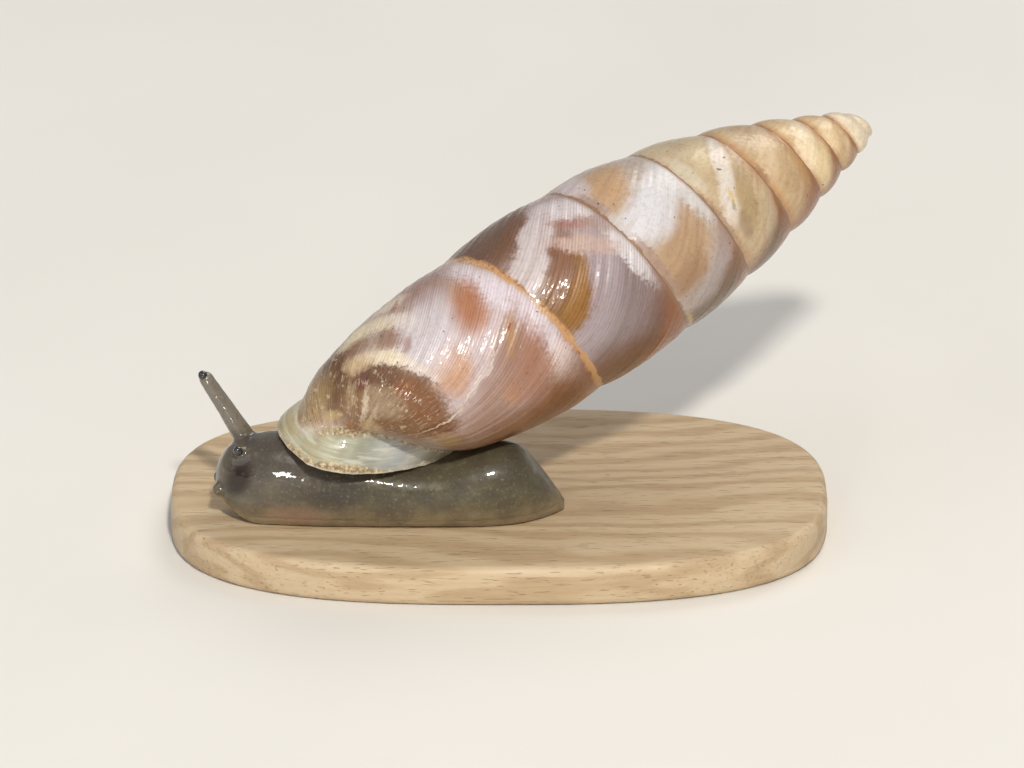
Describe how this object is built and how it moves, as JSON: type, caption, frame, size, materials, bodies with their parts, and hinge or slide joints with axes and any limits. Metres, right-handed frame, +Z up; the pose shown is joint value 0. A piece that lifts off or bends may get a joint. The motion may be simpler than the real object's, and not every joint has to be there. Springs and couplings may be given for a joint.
{
  "type": "striped land snail model on a base",
  "caption": "Life-size still model of a slender land snail with a long banded spiral shell, feelers out, on a thin oval base.",
  "frame": {"origin": "on the underside of the base, under the middle of the snail's sole", "axes": "+Z up, -X towards the snail's head, -Y to the snail's left"},
  "size_m": [0.0248, 0.0144, 0.0131],
  "materials": {
    "shell": "glossy, finely ribbed, lilac white with brown and ochre bands and patches",
    "skin": "wet, finely pebbled, grey brown",
    "eye": "polished black",
    "base_wood": "oiled, broken edges"
  },
  "bodies": {
    "root": {"shell": "shell", "mantle_collar": "skin", "head": "skin", "neck": "skin", "foot": "skin", "tail": "skin", "upper_feeler_right": "skin", "upper_feeler_left": "skin", "lower_feeler_right": "skin", "lower_feeler_left": "skin", "mouth": "skin", "eye_right": "eye", "eye_left": "eye", "stand_base": "base_wood"}
  },
  "joints": []
}
